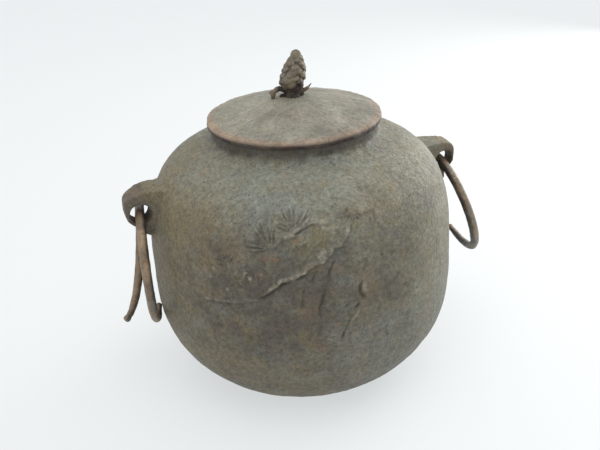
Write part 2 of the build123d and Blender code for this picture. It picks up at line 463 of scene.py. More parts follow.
def add_stroke(points, raised, cut, spots, height, first, last, groove):
    line, chosen = line_on_front(points, spots, 9)
    near = points[chosen]
    distance, side, share = to_line(wandering(near, 0.9), line)
    half = (first + (last - first) * share) * (0.85 + 0.4 * lumps(near, 4, 31))
    above = np.exp(-np.clip((distance - 0.35 * half) / (0.9 * half + 0.5), 0, None) ** 2)
    below = np.exp(-np.clip((distance - half) / 0.55, 0, None) ** 2)
    ends = fade(share, 0.08, 0.12) * 0.8 + 0.2
    crumbs = 0.78 + 0.45 * lumps(near, 2.4, 32)
    raise_to(raised, chosen, height * ends * np.where(side > 0, above, below) * crumbs)
    # A groove under the stroke's lower side, carved and also painted dark as the shadow under the ridge.
    under = np.exp(-((distance - half - 1.3) / 1.2) ** 2) * (side < 0) * ends
    under *= np.clip(0.75 + 0.7 * lumps(near, 6, 33), 0.1, 1.2)
    raise_to(cut, chosen, groove * under)


def add_groove(points, cut, spots, depth, half):
    line, chosen = line_on_front(points, spots, 5)
    near = points[chosen]
    distance, _, share = to_line(wandering(near, 1.3), line)
    ends = fade(share, 0.1, 0.15) * np.clip(0.7 + 0.8 * lumps(near, 6, 44), 0.1, 1.2)
    raise_to(cut, chosen, depth * ends * np.exp(-(distance / half) ** 2))


def add_trunk(points, raised):
    line, chosen = line_on_front(points, [spot[:2] for spot in TRUNK], 12, 2)
    distance, _, share = to_line(points[chosen], line)
    half = np.interp(share, np.linspace(0, 1, len(TRUNK)), [spot[2] for spot in TRUNK])
    bark = 0.25 * lumps(points[chosen] * (1, 1, 0.35), 2.6, 51)
    edge = ramp(0, 1.6, half - distance) * ramp(0, 0.2, 1 - share)
    raise_to(raised, chosen, (0.75 + bark) * edge)


def fan_needles(middle, first, last, reach, count, seed):
    """Lines of (degrees, height) for the needles of one fan, slightly curved and uneven."""
    dice = np.random.default_rng(seed)
    degree = math.radians(1) * 116
    needles = []
    for k in range(count):
        angle = math.radians(first + (last - first) * (k + dice.uniform(-0.25, 0.25)) / (count - 1))
        length = reach * dice.uniform(0.78, 1.12)
        bend = dice.uniform(-0.18, 0.18)
        line = []
        for share in (0.22, 0.6, 1.0):
            turn = angle + bend * share
            across = math.cos(turn) * length * share / degree
            line.append((middle[0] + across, middle[1] + math.sin(turn) * length * share * 0.85))
        needles.append(line)
    return needles


def add_fans(points, raised, cut):
    for seed, (middle, first, last, reach, count) in enumerate(FANS):
        for spots in fan_needles(middle, first, last, reach, count, 60 + seed):
            line, chosen = line_on_front(points, spots, 3)
            distance, _, share = to_line(points[chosen], line)
            ends = fade(share, 0.1, 0.4)
            raise_to(raised, chosen, 1.3 * ends * np.exp(-(distance / 0.72) ** 2))
            # A groove beside each needle, carved and also painted dark as shade.
            raise_to(cut, chosen, 0.9 * ends * np.exp(-((distance - 1.35) / 0.6) ** 2))


def add_ground(points, raised):
    for seed, (middle, across, up, height) in enumerate(GROUND):
        centre = on_front([middle])[0]
        away = points - centre
        spread = np.sqrt((away[:, 0] ** 2 + away[:, 1] ** 2) / across ** 2 + (away[:, 2] / up) ** 2)
        mask = ramp(0, 0.6, 1 - spread)
        chosen = np.flatnonzero(mask > 0)
        crumbs = np.clip(rough(points[chosen], 3.6, 2, 70 + 3 * seed), 0, None) ** 0.8
        raise_to(raised, chosen, height * mask[chosen] * crumbs)


def body_relief(points):
    """How far each outside point stands out, how deep it is cut, which also sets its painted shade, and
    how pale its ridges are painted, as wear and as painted highlight.
    """
    raised = np.zeros(len(points))
    cut = np.zeros(len(points))
    add_ground(points, raised)
    add_fans(points, raised, cut)
    for spots, height, first, last, groove in STROKES:
        add_stroke(points, raised, cut, spots, height, first, last, groove)
    for spots, depth, half in GROOVES:
        add_groove(points, cut, spots, depth, half)
    wear_and_highlight = ramp(-0.25, 0.45, lumps(points, 11, 45)) - 0.8 * patch(points, (22, 122), 9, 24)
    pale = raised * np.clip(0.5 + 0.7 * wear_and_highlight, 0, 1.1)
    add_trunk(points, raised)
    return raised, cut, pale


def cast_skin(points):
    """The unevenness of sand-cast iron, in millimetres."""
    return (0.35 * lumps(points, 26, 11) + 0.22 * rough(points, 8, 2, 12) + 0.14 * lumps(points, 3.2, 15)
            - 0.25 * np.clip(lumps(points, 5.5, 16) - 0.45, 0, 1))


def lug_mound(points):
    """How far the body swells out at the root of each lug."""
    across = np.abs(points[:, 1]) / 15.0
    up = np.abs(points[:, 2] - 152) / 21.0
    return 1.6 * ramp(0, 0.5, 1.25 - np.sqrt(across ** 2 + up ** 2)) * (np.abs(points[:, 0]) > 90)


def patch(points, spot, across, up):
    """From 0 to 1 around a spot of (degrees, height) on the front, across and up its reach there."""
    away = points - on_front([spot])[0]
    return np.exp(-(away[:, 0] ** 2 + away[:, 1] ** 2) / across ** 2 - (away[:, 2] / up) ** 2)


def patches(points, places):
    """Several patches, each with its own strength, added up."""
    return sum(strength * patch(points, spot, across, up) for spot, across, up, strength in places)


def to_the_right(points):
    """How far each point lies to the right of the middle of the front, in millimetres."""
    return points[:, 0] * RIGHT[0] + points[:, 1] * RIGHT[1]


def on_lugs(points):
    """1 on the lugs and 0 on the body."""
    return ramp(116, 126, np.abs(points[:, 0]))


def body_dark(points):
    """How dark the body is painted: darkest on the middle of the front and low on it, with painted shade
    round the lugs' holes, on the lugs below their tops and on the neck under the lid, and lighter on the
    shoulder, partly as painted light from above, and on the right edge as painted light.
    """
    across = to_the_right(points)
    height = points[:, 2]
    front = ramp(-30, 60, points[:, 0] * RIGHT[1] - points[:, 1] * RIGHT[0])
    heart = np.exp(-((across + 14) / 74) ** 2 - ((height - 104) / 54) ** 2) * front
    clouds = 0.5 * lumps(points, 42, 121) + 0.35 * lumps(points, 17, 122)
    dark = 0.20 + 0.90 * heart + 0.42 * ramp(62, 20, height) * front + 0.30 * clouds
    # Lighter towards the shoulder: partly the iron's own tone, partly painted light from above.
    dark -= 0.30 * ramp(150, 182, height)
    # Painted light: the right edge is lightened as if lit from the right.
    dark -= 0.45 * ramp(62, 112, across) * ramp(168, 138, height)
    dark += 0.26 * ramp(40, 70, across) * ramp(135, 160, height)
    dark += patches(points, DARKENED) + 0.35 * patches(points, KNOT)
    lug = on_lugs(points)
    # Painted shade in and round the lugs' holes and on the lugs below their tops.
    hole = np.hypot(np.abs(points[:, 0]) - HOLE_X, height - HOLE_Z)
    in_hole = lug * ramp(12.5, 8.5, hole) + 0.4 * lug * ramp(166, 158, height)
    dark += 0.55 * lug * (points[:, 0] < 0) + 0.2 * lug + 0.6 * in_hole
    # Painted shade on the neck under the lid's overhang.
    dark += 0.85 * ramp(197, 203.5, height + 3.5 * lumps(points, 7, 124))
    return np.clip(dark, 0, 1.3)


def body_warm(points):
    """How warm and brown the iron is: most on the left, least on the shoulder."""
    across = to_the_right(points)
    warm = 0.40 + 0.45 * ramp(50, -90, across) + 0.30 * lumps(points, 30, 123)
    warm -= 0.6 * patches(points, KNOT)
    warm -= 0.40 * ramp(162, 185, points[:, 2]) * ramp(80, 20, across)
    return np.clip(warm + 0.5 * on_lugs(points), 0, 1)


def body_tones(points):
    """The tints of the body casting, with painted light and shade in dark, by the names that the material
    knows.
    """
    rust = patches(points, RUSTY) + 0.35 * on_lugs(points)
    low_right = ramp(10, 60, to_the_right(points)) * ramp(110, 70, points[:, 2])
    return {"dark": body_dark(points), "warm": body_warm(points), "rust": np.clip(rust, 0, 1),
            "ochre": patches(points, YELLOWED), "cool": patches(points, COOLED) + 0.35 * low_right}


def body_level(points, raised, cut):
    """How far each outside point is moved out, nearly nothing at the base's edge and the lip."""
    height = points[:, 2]
    level = cast_skin(points) + raised - cut + lug_mound(points)
    level = np.where(height < 0.5, -np.abs(level), level)
    level = level * (1 - 0.9 * ramp(206, 208.5, height))
    to_base_edge = np.hypot(np.hypot(points[:, 0], points[:, 1]) - BODY_OUTLINE[0][0], height)
    return level * np.where(height < 6, ramp(0, 5, to_base_edge), 1)


def inner_columns(angles):
    """The numbers of the angles that the smooth inside needs, INNER_GAP degrees or more apart."""
    picked = [0]
    for k, angle in enumerate(angles):
        if angle - angles[picked[-1]] >= INNER_GAP:
            picked.append(k)
    return picked


def lip_faces(picked, count, first_inner):
    """Faces from the outside's last row to the inside's first one, which has fewer points."""
    few = len(picked)
    faces = []
    for k, start in enumerate(picked):
        stop = picked[k + 1] if k + 1 < few else count
        edge = [first_inner - count + n % count for n in range(start, stop + 1)]
        faces.append(edge + [first_inner + (k + 1) % few, first_inner + k])
    return faces


def body_mesh():
    """Points, faces and relief of the body without its lugs, as one closed mesh."""
    rows = body_rows()
    inner = inside_rows()
    angles = body_columns()
    picked = inner_columns(angles)
    count = len(angles)
    few = len(picked)
    outside = turned(rows, angles).reshape(-1, 3)
    raised, cut, pale = body_relief(outside)
    out = square_to(rows, angles).reshape(-1, 3)
    moved = outside + out * body_level(outside, raised, cut)[:, None]
    # The neck under the lid joins the cut mask, which the material paints dark: painted shade under the
    # lid's overhang.
    cut = np.maximum(cut, ramp(195, 203, outside[:, 2] + 4 * lumps(moved, 5, 126)))
    first_inner = len(moved)
    last_row = first_inner + (len(inner) - 1) * few
    base = last_row + few
    faces = grid_faces(len(rows), count)
    faces += lip_faces(picked, count, first_inner)
    faces += grid_faces(len(inner), few, first_inner)
    faces += [[base, (k + 1) % count, k] for k in range(count)]
    faces += [[last_row + k, last_row + (k + 1) % few, base + 1] for k in range(few)]
    inside = turned(inner, angles[picked]).reshape(-1, 3)
    points = np.concatenate([moved, inside, [(0, 0, 0), (0, 0, INNER_FLOOR)]])
    padding = np.zeros(len(points) - len(moved))
    # raised holds how pale the ridges are painted, as wear and painted highlight; cut holds the painted
    # shade in the grooves and on the neck.
    relief = {"raised": np.concatenate([pale, padding]), "cut": np.concatenate([cut, padding])}
    return points, faces, relief


def lug_field(points, inset, size, corner, flare, rise, wide):
    """Signed distance to the lug on +X, with inset moving it towards the body, size and corner
    rounding its end, flare widening the hole's mouths, rise the top's height at the root and
    wide how far the top spreads on the back."""
    x, y, z = points.T
    x = x + inset
    spread = np.interp(x, [112, 119, 127, 133, 138], [1.0, 3.5, 3.5, 0.5, -3.0])
    spread = wide * spread * ramp(160, 167, z) * (y < 0)
    y = np.abs(y)
    top = z - LUG_TOP - rise * np.interp(x, [112, 119, 124, 130, 137], [1.0, 0.9, 0.6, 0.15, -0.3])
    end = np.hypot(np.clip(x - 126.3, 0, None), np.clip(156.2 - z, 0, None)) - size
    slope = (x - 121.9) * 0.45 - (z - 137.4) * 0.893
    body_part = np.maximum(x - 127.5, np.maximum(top, slope - 0.2))
    side = smooth_min(smooth_max(end, top, corner), body_part, 2.0)
    half = np.interp(x, [105, 113, 118, HOLE_X, 141.5], [13.5, 11.2, 10.2, 9.0, 7.6]) + spread
    shape = smooth_max(side, y - half - 0.5 * ramp(160, 170, z), 0.9)
    hole = np.hypot(x - HOLE_X, z - HOLE_Z)
    mouth = HOLE_RADIUS + 0.35 + flare * np.exp(-np.clip(half - y, 0, None) / 1.1)
    shape = smooth_max(shape, mouth - hole, 0.8)
    shape = shape + 0.22 * rough(points, 7, 3, 21)
    surface = np.interp(z, OUTLINE[:, 1], OUTLINE[:, 0])
    return np.maximum(shape, surface - 1.8 - np.hypot(x - inset, y))


def join_lugs(piece):
    """Joins the two lugs to the body casting, so that the whole casting is one closed mesh."""
    for side, shape in LUG_SHAPES.items():
        points, faces = skin(lambda spots: lug_field(spots, **shape), *LUG_BOX, LUG_STEP)
        lug = make_piece("lug", points * (side, side, 1), faces)
        union = piece.modifiers.new("union", "BOOLEAN")
        union.operation = "UNION"
        union.solver = "EXACT"
        union.object = lug
        bpy.context.view_layer.update()
        evaluated = piece.evaluated_get(bpy.context.evaluated_depsgraph_get())
        joined = bpy.data.meshes.new_from_object(evaluated)
        piece.modifiers.clear()
        piece.data = joined
        bpy.data.objects.remove(lug)
    piece.data.shade_smooth()


def make_body(look):
    points, faces, relief = body_mesh()
    piece = make_piece("body_casting", points, faces, relief)
    join_lugs(piece)
    spots = np.zeros(len(piece.data.vertices) * 3)
    piece.data.vertices.foreach_get("co", spots)
    for title, values in body_tones(spots.reshape(-1, 3) / MM).items():
        store(piece.data, title, values)
    place(piece, "kettle", "kettle_body", look)
    return piece


# ---- lid

def lid_height(radius):
    return LID_EDGE_TOP + LID_RISE * (1 - (radius / LID_RADIUS) ** LID_CURVE)


def lid_rows():
    """The lid's section, from the hole in its middle over the top, round the rim and underneath."""
    top_radii = np.concatenate([[TANG_HOLE_RADIUS, 5.0], np.arange(LID_TOP_FLAT, LID_RADIUS - 1.2, 1.1)])
    rows = [(radius, min(lid_height(radius), lid_height(LID_TOP_FLAT))) for radius in top_radii]
    rows += [(66.0, 213.0), (66.6, 212.8), (66.95, 212.3), (67.0, 211.4), (67.0, 210.2), (66.95, 209.0),
             (66.7, 208.2), (66.0, 207.8), (65.3, 207.9), (65.1, 209.2)]
    rows += [(radius, 209.2) for radius in (63.0, 60.0, 57.2)]
    rows += [(LOCATOR_OUTER, 208.7), (LOCATOR_OUTER, 206.5), (LOCATOR_OUTER, 204.0), (56.0, LOCATOR_LOW),
             (54.0, LOCATOR_LOW), (LOCATOR_INNER, 204.0), (LOCATOR_INNER, 207.0)]
    rows += [(radius, min(lid_height(radius) - LID_WALL, 222.81)) for radius in np.arange(52.8, 9.0, -4.0)]
    rows += [(9.0, 222.81), (TANG_HOLE_RADIUS, 222.81)]
    return np.array(rows)


def lid_rays(points, radius):
    """A place for each point that changes quickly round the lid and slowly along its slope."""
    turn = np.arctan2(points[:, 0], -points[:, 1])
    turn = turn + 0.035 * lumps(points, 9, 81) + 0.10 * lumps(points, 34, 82)
    return np.stack([66 * np.sin(turn), 66 * np.cos(turn), radius / 7], -1)


def lid_level(points, radius, height, over, rays, grooves):
    """How far each point of the lid stands out: fine rays on top, an uneven rim, smoother below."""
    outer = ramp(20, 60, radius)
    level = over * (0.22 * grooves * (0.15 + 0.85 * outer) + 0.22 * lumps(points, 14, 85))
    level += over * 0.10 * lumps(points, 2.8, 86) * ramp(8, 14, radius)
    at_rim = (radius > 65.4) & (height < 212.8)
    level += at_rim * (0.30 * (lumps(points, 9, 87) - 0.4) + 0.12 * lumps(rays * (1, 1, 0), 2.6, 92))
    under = (~over) & (height < 222) & (radius < 53)
    level += under * 0.15 * lumps(points, 9, 88)
    return level * ramp(6.5, 9.5, radius)


def lid_tones(points, radius, height, over, grooves):
    """The tints of the lid: a warm edge, a painted highlight on the crests of the rays and painted shade
    in their troughs, and painted shade on the lower part of the rim's edge and underneath.
    """
    rim = ramp(61.5, 64.5, radius + 1.5 * lumps(points, 8, 89))
    # Painted shade on the lower part of the rim's edge and under the lid.
    below = over * ramp(211.7, 210.7, height) + (~over)
    shade = 0.26 * ramp(-50, -8, to_the_right(points))
    dark = 0.03 + shade + 0.12 * lumps(points, 24, 94) + 0.95 * below
    # Painted highlight on the crests of the rays and painted shade in their troughs.
    return {"raised": 1.1 * np.clip(grooves, 0, 1) * over * (height > 212.9),
            "cut": 0.5 * np.clip(-grooves, 0, 1) * over * ramp(20, 60, radius),
            "warm": 0.15 + 0.75 * rim + 0.15 * lumps(points, 15, 90),
            "dark": np.clip(dark, 0, 1)}


def make_lid(look):
    rows = lid_rows()
    angles = np.arange(-180, 180, 0.8)
    count = len(angles)
    points = turned(rows, angles).reshape(-1, 3)
    out = square_to(rows, angles).reshape(-1, 3)
    radius = np.repeat(rows[:, 0], count)
    height = np.repeat(rows[:, 1], count)
    over = np.arange(len(points)) < count * np.argmax(rows[:, 1] < 209.5)
    rays = lid_rays(points, radius)
    grooves = lumps(rays, 3.0, 83) + 0.6 * lumps(rays, 1.6, 84)
    points = points + out * lid_level(points, radius, height, over, rays, grooves)[:, None]
    faces = [face[::-1] for face in grid_faces(len(rows), count)]
    closing = (len(rows) - 1) * count
    faces += [[k, (k + 1) % count, closing + (k + 1) % count, closing + k] for k in range(count)]
    piece = make_piece("lid_casting", points, faces, lid_tones(points, radius, height, over, grooves))
    place(piece, "lid_assembly", "lid", look)
    return piece


# ---- pine-cone knob

SEAT = lid_height(LID_TOP_FLAT)
# The cone's outline around its own axis: radius and height. Its top leans by LEAN.
CONE = [(3.4, 5.0), (5.6, 7.0), (7.6, 10.5), (8.4, 15.0), (7.8, 20.5), (5.8, 26.5), (3.9, 31.0),
        (1.8, 33.6)]
LEAN = 4.2
SCALES = 40
GOLDEN_TURN = 137.5
TANG_RADIUS = 3.0
RIVET_RADIUS = 4.8
KNOB_BOX = ((-23, -13.5, -7.6), (17.5, 13.5, 36.6))
KNOB_STEP = 0.42
# Twigs under the cone: a line of (along the knob's X, height), and its radius at its two ends.
TWIGS = [
    ([(-3.0, 3.2), (-6.5, 5.6), (-10.8, 6.0), (-14.2, 3.8), (-15.0, -0.6)], 2.2, 1.9),
    ([(-12.6, 4.6), (-15.4, 4.4), (-17.2, 3.0)], 1.6, 0.9),
    ([(2.0, 2.6), (7.0, 3.6), (11.0, 5.6), (14.2, 8.6)], 2.8, 0.9),
    ([(-2.0, 1.6), (-6.5, 1.2), (-9.0, 0.6)], 1.6, 1.1),
    ([(2.0, 1.6), (5.8, 1.6), (8.4, 0.9)], 1.9, 0.9),
]


def to_scale(points, centre, out, up, width, length, depth):
    """Signed distance to one scale: a flattened egg that points out and up."""
    across = np.cross(up, out)
    away = points - centre
    local = np.stack([away @ across / width, away @ up / length, away @ out / depth], -1)
    near = np.linalg.norm(local, axis=1)
    slope = np.linalg.norm(local / (width, length, depth), axis=1)
    return near * (near - 1) / np.maximum(slope, 1e-6)


def cone_radius(height, step, under=None, over=None):
    """The cone's radius at each height, and what to take under its foot and over its tip."""
    outline = curve_through(CONE, step)
    return np.interp(height, outline[:, 1], outline[:, 0], left=under, right=over)


def cone_scales():
    """Middle, outward direction, upward direction and size of each scale, in a rising spiral."""
    dice = np.random.default_rng(95)
    scales = []
    for k in range(SCALES):
        share = k / (SCALES - 1)
        height = 6.6 + 23.6 * share ** 0.96
        slope = cone_radius(height + 1, 0.2) - cone_radius(height - 1, 0.2)
        angle = math.radians(GOLDEN_TURN * k + 20 + dice.uniform(-9, 9))
        sideways = np.array([math.cos(angle), math.sin(angle), 0.0])
        tilt = 0.35 + 0.5 * share - 0.25 * slope
        out = unit(sideways + np.array([0, 0, tilt]))
        up = unit(np.cross(out, np.cross([0, 0, 1.0], out)))
        size = (1.10 - 0.50 * share ** 2) * dice.uniform(0.82, 1.22)
        centre = sideways * (cone_radius(height, 0.2) - 0.4) + np.array([0, 0, height])
        scales.append((centre, out, up, size))
    return scales


def cone_distance(points):
    """Signed distance to the pine cone and the foot that it grows from."""
    lean = LEAN * ramp(8, 36, points[:, 2])
    spot = points - lean[:, None] * (1, 0, 0)
    away = np.hypot(spot[:, 0], spot[:, 1])
    height = spot[:, 2]
    core = away - cone_radius(height, 0.5, 2, 0) + 0.4
    core = np.maximum(core, np.maximum(5.0 - height, height - 33.4)) * 0.9
    for centre, out, up, size in cone_scales():
        plate = to_scale(spot, centre, out, up, 3.7 * size, 3.0 * size, 1.7 * size)
        tip = centre + out * 1.35 * size + up * 1.7 * size
        beak = away_from(spot, tip) - 0.95 * size
        core = smooth_min(core, smooth_min(plate, beak, 0.7), 0.3)
    core = smooth_min(core, away_from(spot, (0, 0, 31.4)) - 4.1, 0.9)
    foot = np.maximum(away - 6.2 + 0.34 * np.clip(height, 0, 6), np.maximum(-height, height - 7.5))
    return smooth_min(core, foot, 1.2)


def tang_distance(points):
    """Signed distance to the tang through the lid and the rivet's head under it."""
    away = np.hypot(points[:, 0], points[:, 1])
    height = points[:, 2]
    tang = np.maximum(away - TANG_RADIUS, np.maximum(height - 2, -6.0 - height))
    rivet = to_scale(points, np.array([0, 0, -5.35]), np.array([0, 0, -1.0]), np.array([0, 1.0, 0]),
                     RIVET_RADIUS, RIVET_RADIUS, 1.6)
    return np.minimum(tang, np.maximum(rivet, height + 5.33))


def knob_field(points):
    """Signed distance to the whole knob, around the middle of its seat on the lid."""
    knob = cone_distance(points)
    for line, first, last in TWIGS:
        route = curve_through([(x, 0.6 * math.sin(x), z) for x, z in line], 0.8)
        best = np.full(len(points), 1e9)
        for k, centre in enumerate(route):
            thick = first + (last - first) * k / (len(route) - 1)
            thick *= 1 + 0.10 * math.sin(2.1 * k) + 0.08 * math.sin(5.3 * k + 1)
            best = np.minimum(best, away_from(points, centre) - thick)
        knob = smooth_min(knob, best + 0.15, 0.8)
    knob = knob + 0.30 * rough(points, 3.4, 2, 91)
    away = np.hypot(points[:, 0], points[:, 1])
    on_lid = lid_height(np.clip(away, LID_TOP_FLAT, LID_RADIUS)) - SEAT
    knob = np.maximum(knob, 0.1 + on_lid - points[:, 2])
    return np.minimum(knob, tang_distance(points))


def make_knob(look):
    points, faces = skin(knob_field, *KNOB_BOX, KNOB_STEP)
    depth = np.hypot(points[:, 0] - LEAN * ramp(8, 36, points[:, 2]), points[:, 1])
    radius = cone_radius(points[:, 2], 0.5, 4, 2)
    # Painted shade: the hollows between the scales and the knob low down, under the cone, go dark; the
    # scale tips are paler, as wear and as painted highlight.
    cut = np.clip((radius + 1.0 - depth) / 2.2, 0, 1) * (points[:, 2] > 4)
    low = ramp(19, 5, points[:, 2]) * ramp(13, 9, np.abs(points[:, 0]))
    middle = np.exp(-((points[:, 2] - 22) / 5) ** 2)
    dark = 0.10 + 0.85 * low + 0.5 * lumps(points, 5, 93)
    relief = {"raised": 0.9 * (1 - cut) * (1 - low), "cut": cut, "dark": np.clip(dark, 0, 1),
              "warm": np.clip(0.1 + 0.6 * middle + 0.8 * ramp(14, 8, points[:, 2]), 0, 1)}
    points = points @ turn_about(2, FRONT_TURN).T + (0, 0, SEAT)
    piece = make_piece("pine_cone_knob", points, faces, relief)
    place(piece, "lid_assembly", "lid_knob", look)
    return piece


# ---- rings

def ring_line(angles, bend):
    """The ring's middle line before it is hung, by angles in degrees from its top."""
    turn = np.radians(angles)
    share = angles / RING_HALF_ANGLE
    aside = bend[0] * share + bend[1] * share ** 2 + bend[2] * share ** 3
    return np.stack([aside, -RING_RADIUS * np.sin(turn), -RING_RADIUS * (1 - np.cos(turn))], -1)


def ring_thickness(angles, bead):
    """The ring's radius along it: thin towards both ends, each end rounded, one with a bead."""
    wire = 2.1 + 1.5 * (1 - np.abs(angles / RING_HALF_ANGLE) ** 6)
    to_end = (RING_HALF_ANGLE - np.abs(angles)) * math.radians(1) * RING_RADIUS
    knob = np.where(angles < 0, bead, 0.25) * np.exp(-((to_end - 2.2) / 1.7) ** 2)
    rounding = np.sqrt(np.clip(1 - ((2.0 - to_end) / 2.0).clip(0, 1) ** 2, 0, 1))
    return (wire + knob) * np.maximum(rounding, 0.02)


def ring_surface(angles, bend, bead, seed):
    """The ring's points before it is hung, and the direction that each of them faces."""
    middle = ring_line(angles, bend)
    along = unit(ring_line(angles + 0.2, bend) - ring_line(angles - 0.2, bend))
    side = unit(np.array([1.0, 0, 0]) - along * along[:, :1])
    other = np.cross(along, side)
    around = np.radians(np.arange(0, 360, RING_SIDE_ANGLE))[None, :]
    facing = np.cos(around)[..., None] * side[:, None] + np.sin(around)[..., None] * other[:, None]
    flat = (middle[:, None] + 3 * facing).reshape(-1, 3)
    uneven = 0.045 * lumps(flat, 7, seed) + 0.035 * lumps(flat, 2.6, seed + 1)
    slow = angles[:, None] / 20 * (1, 0, 0)
    square = 0.028 * np.cos(4 * around + 1.5 * lumps(slow, 1, seed + 2)[:, None])
    size = ring_thickness(angles, bead)[:, None] * (1 + uneven.reshape(square.shape) + square)
    return (middle[:, None] + size[..., None] * facing).reshape(-1, 3), facing.reshape(-1, 3)


def make_ring(name, body, bead, seed, warmth, look):
    rest = RING_REST[name]
    bend = RING_BEND[name]
    even = np.linspace(-RING_HALF_ANGLE, RING_HALF_ANGLE, 181)
    tips = RING_HALF_ANGLE - np.array([0.0, 0.1, 0.35, 0.8, 1.4])
    angles = np.unique(np.concatenate([even, tips, -tips]))
    points, facing = ring_surface(angles, bend, bead, seed)
    points = points - ring_line(np.array([rest["contact"]]), bend)
    hang = (turn_about(1, rest["swing"]) @ turn_about(0, rest["lean"]) @ turn_about(2, rest["turn"])
            @ turn_about(0, -rest["contact"]))
    points = points @ hang.T + (rest["side"] * HOLE_X - rest["inset"], 0, rest["height"])
    count = 360 // RING_SIDE_ANGLE
    faces = grid_faces(len(angles), count)
    faces.append(list(range(count))[::-1])
    faces.append([(len(angles) - 1) * count + k for k in range(count)])
    # Painted shade: the side of the ring that faces the kettle and a little downward is darkened, and the
    # side away from it is paler as a painted highlight, over random tone.
    inner = ramp(-0.1, 0.8, facing @ hang.T @ (-rest["side"], 0.15, -0.25))
    dark = 0.18 + 0.3 * lumps(points, 9, seed + 5) + 0.75 * inner
    tones = {"raised": 0.65 + 0.5 * lumps(points, 7, seed + 3) - 0.8 * inner,
             "warm": np.clip(warmth + 0.4 * lumps(points, 13, seed + 4), 0, 1),
             "dark": np.clip(dark, 0, 1)}
    piece = make_piece(name + "_forged", points, faces, tones)
    place(piece, body, name, look)
    return piece


# ---- materials

class Look:
    """A material that is built from nodes, with short names for the ones used here."""

    def __init__(self, name):
        self.material = bpy.data.materials.new(name)
        self.material.use_nodes = True
        self.tree = self.material.node_tree
        self.tree.nodes.clear()
        self.output = self.tree.nodes.new("ShaderNodeOutputMaterial")
        self.shader = self.tree.nodes.new("ShaderNodeBsdfPrincipled")
        self.tree.links.new(self.shader.outputs[0], self.output.inputs[0])
        self.place = self.tree.nodes.new("ShaderNodeTexCoord").outputs["Object"]

    def set(self, socket, value):
        if hasattr(value, "is_linked"):
            self.tree.links.new(value, socket)
        else:
            socket.default_value = value

    def add(self, kind, **given):
        """A new node with the given inputs set."""
        node = self.tree.nodes.new("ShaderNode" + kind)
        for title, value in given.items():
            self.set(node.inputs[title], value)
        return node

    def noise(self, size, detail=2.0, roughness=0.55, stretch=(1, 1, 1)):
        """Cloudy values from 0 to 1, with lumps about size millimetres across."""
        mapping = self.add("Mapping", Vector=self.place, Scale=stretch)
        return self.add("TexNoise", Vector=mapping.outputs[0], Scale=1 / (size * MM), Detail=detail,
                        Roughness=roughness).outputs[0]

    def value(self, name):
        """A value stored on the mesh."""
        node = self.add("Attribute")
        node.attribute_name = name
        return node.outputs["Fac"]

    def span(self, value, low, high, first=0.0, last=1.0):
        """The value, stretched so that low becomes first and high becomes last."""
        node = self.add("MapRange")
        for socket, given in zip(node.inputs[:5], (value, low, high, first, last)):
            self.set(socket, given)
        return node.outputs[0]

    def clamp(self, value):
        return self.span(value, 0.0, 1.0)

    def grey(self, value):
        """A grey colour from a value."""
        return self.add("CombineColor", Red=value, Green=value, Blue=value).outputs[0]

    def math(self, operation, first, second):
        node = self.add("Math")
        node.operation = operation
        self.set(node.inputs[0], first)
        self.set(node.inputs[1], second)
        return node.outputs[0]

    def mix(self, share, first, second, way="MIX"):
        node = self.add("Mix")
        node.data_type = "RGBA"
        node.blend_type = way
        self.set(node.inputs[0], share)
        for socket, given in ((node.inputs[6], first), (node.inputs[7], second)):
            self.set(socket, given if hasattr(given, "is_linked") else (*given, 1.0))
        return node.outputs[2]

    def bump(self, height, depth, before=None):
        """A bump of the given depth in millimetres."""
        node = self.add("Bump", Strength=1.0, Distance=depth * MM, Height=height)
        if before is not None:
            self.set(node.inputs["Normal"], before)
        return node.outputs[0]


RUST = (0.36, 0.135, 0.045)
OCHRE = (0.165, 0.135, 0.062)
SLATE = (0.150, 0.158, 0.145)
STAIN = (0.26, 0.150, 0.085)
PIT = (0.035, 0.030, 0.024)
# Painted shade: the colour that cuts, grooves and hollows are darkened to, as if in shadow.
CUT_SHADE = (0.040, 0.032, 0.025)


